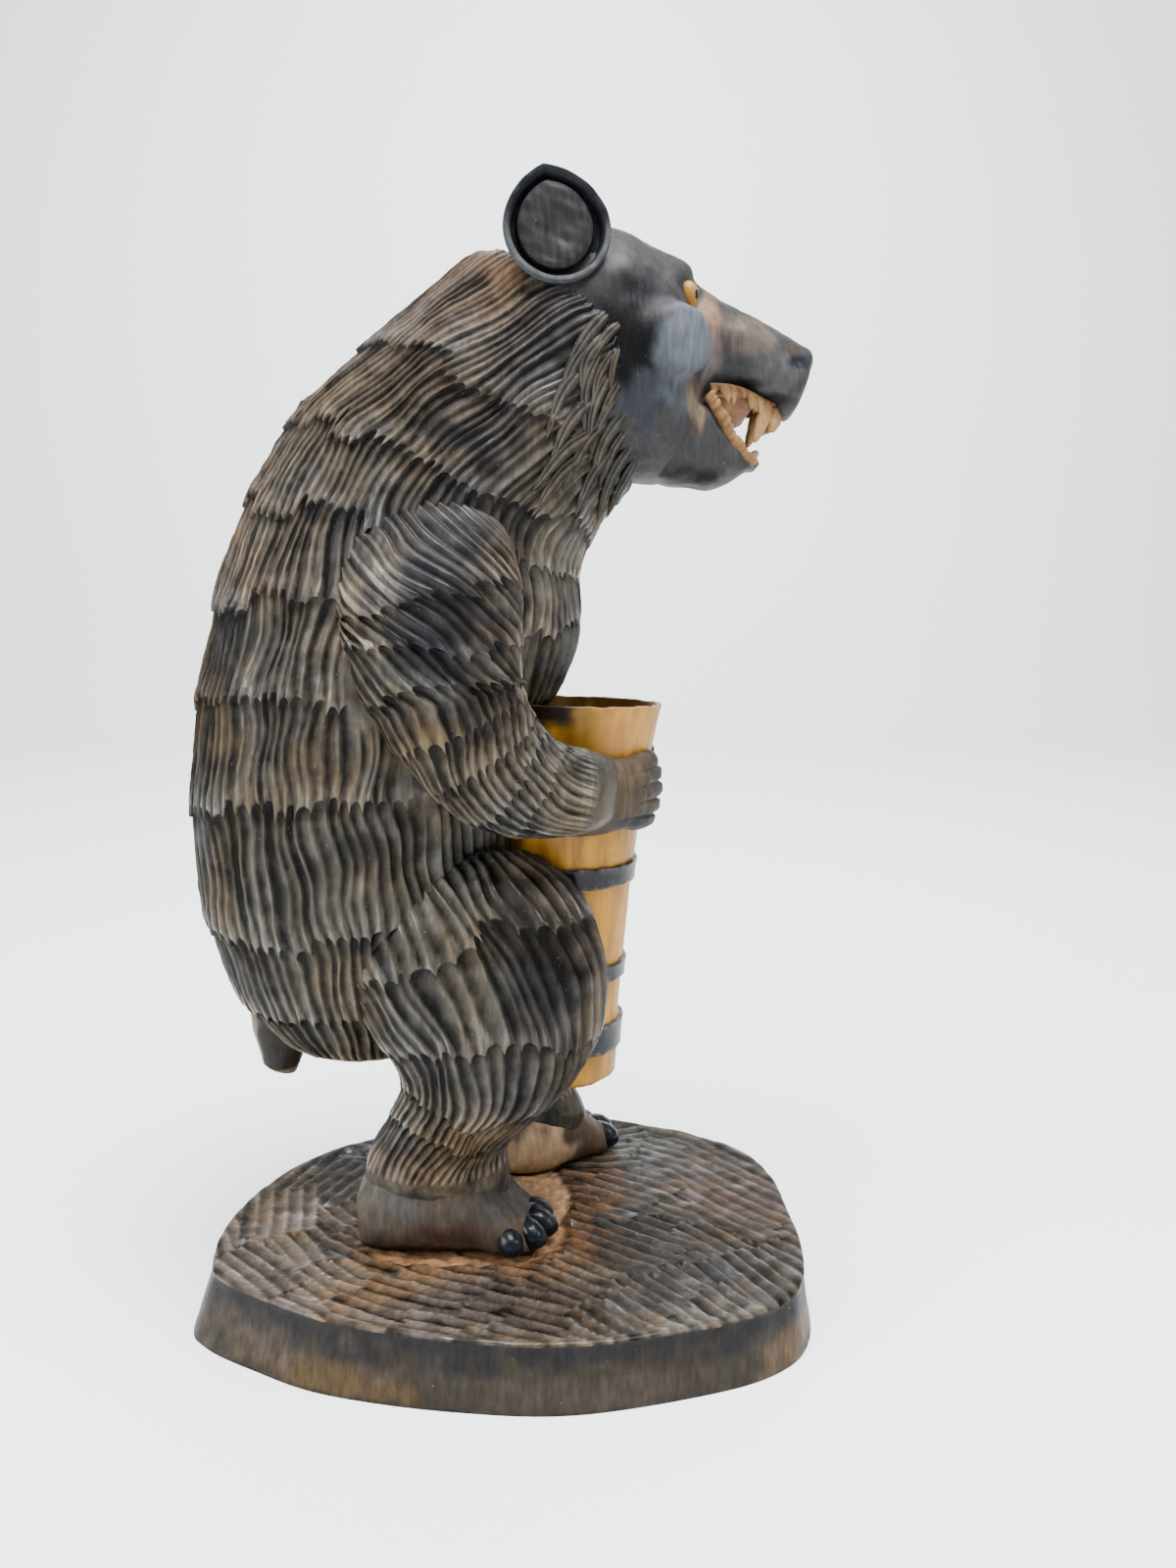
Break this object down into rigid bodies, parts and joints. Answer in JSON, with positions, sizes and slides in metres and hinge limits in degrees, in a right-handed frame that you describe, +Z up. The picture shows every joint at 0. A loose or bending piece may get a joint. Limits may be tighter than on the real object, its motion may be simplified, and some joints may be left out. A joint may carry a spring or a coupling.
{
  "type": "carved wooden bear figure",
  "caption": "Standing wooden bear carved in one block with its plinth, open jaws, gouged fur, its paws round a hollow hooped tub.",
  "frame": {"origin": "centre of the plinth's underside", "axes": "+Z up, the bear faces +X, its right side is -Y"},
  "size_m": [0.1713, 0.1345, 0.3],
  "materials": {
    "stained_wood": "dark brown and black stain under satin varnish, worn lighter on the ridges",
    "tub_wood": "golden ochre stain under satin varnish",
    "hoop_paint": "blue-black satin paint on wood",
    "raw_wood": "bare pale wood, matt"
  },
  "bodies": {
    "root": {"carved_bear": "stained_wood"}
  },
  "joints": []
}
